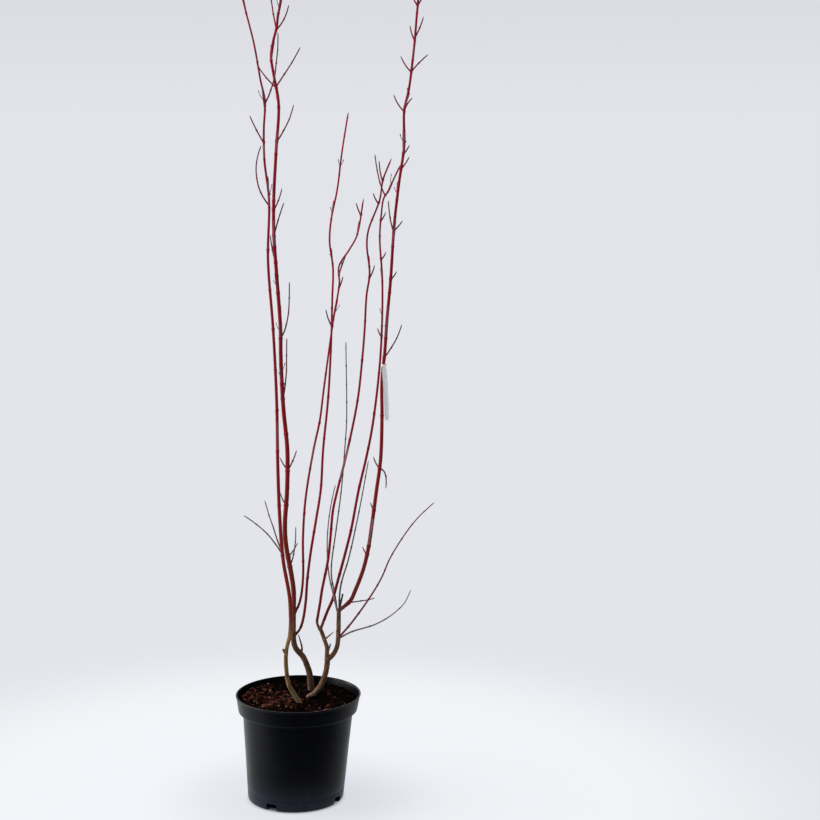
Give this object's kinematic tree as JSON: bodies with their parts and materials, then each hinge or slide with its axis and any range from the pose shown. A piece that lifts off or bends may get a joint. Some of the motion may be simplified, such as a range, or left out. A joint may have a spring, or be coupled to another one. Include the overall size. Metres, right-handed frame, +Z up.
{
  "type": "potted red osier dogwood",
  "caption": "Bare red-stemmed dogwood shrub with upright canes and opposite side twigs, rooted in a round black nursery pot filled with compost.",
  "frame": {"origin": "middle of the pot's flat underside", "axes": "+Z up, along the canes; +X to the right and +Y to the back as seen from the front"},
  "size_m": [0.3892, 0.3171, 1.7552],
  "materials": {
    "pot_plastic": "soft black moulded plastic, satin, a little dusty",
    "compost": "loose dark red-brown bark and fibre chips, matt and damp",
    "old_bark": "tan to olive-brown bark with fine cracks and pale pores",
    "red_bark": "smooth crimson young bark, satin, with small pale pores",
    "twig": "smooth dull red thin twigs with greyish bloom and dark buds",
    "shoot": "thin grey-brown to dull red shoots",
    "tag_plastic": "thin frosted white plastic strip, blank"
  },
  "bodies": {
    "root": {"bough_back": "red_bark", "bough_front": "red_bark", "bough_inner": "red_bark", "bough_left": "red_bark", "bough_middle": "red_bark", "bough_right": "red_bark", "bough_tall": "red_bark", "compost": "compost", "fork_left": "old_bark", "fork_right": "old_bark", "pot": "pot_plastic", "shoot_cut": "shoot", "shoot_grey": "shoot", "shoot_middle": "shoot", "shoot_red": "shoot", "shoot_thin_left": "shoot", "shoot_thin_tall": "shoot", "spray_back_outer": "twig", "spray_front_outer": "twig", "spray_inner_front": "twig", "spray_left_front": "twig", "spray_left_low": "twig", "spray_left_upright": "twig", "spray_middle_outer": "twig", "spray_right_back": "twig", "spray_right_front": "twig", "spray_right_low": "twig", "spray_right_pair_left": "twig", "spray_right_pair_right": "twig", "spray_right_spur": "twig", "spray_right_spur_low": "twig", "spray_tall_back": "twig", "spray_tall_left": "twig", "spray_tall_low": "twig", "spray_tall_pair_left": "twig", "spray_tall_pair_right": "twig", "spray_tall_short": "twig", "spur_high": "shoot", "spur_low": "shoot", "stub_back": "old_bark", "stub_left": "old_bark", "tag": "tag_plastic", "trunk_back": "old_bark", "trunk_left": "old_bark", "trunk_right": "old_bark", "twigs_back": "twig", "twigs_front": "twig", "twigs_inner": "twig", "twigs_left": "twig", "twigs_middle": "twig", "twigs_right": "twig", "twigs_tall": "twig"}
  },
  "joints": []
}
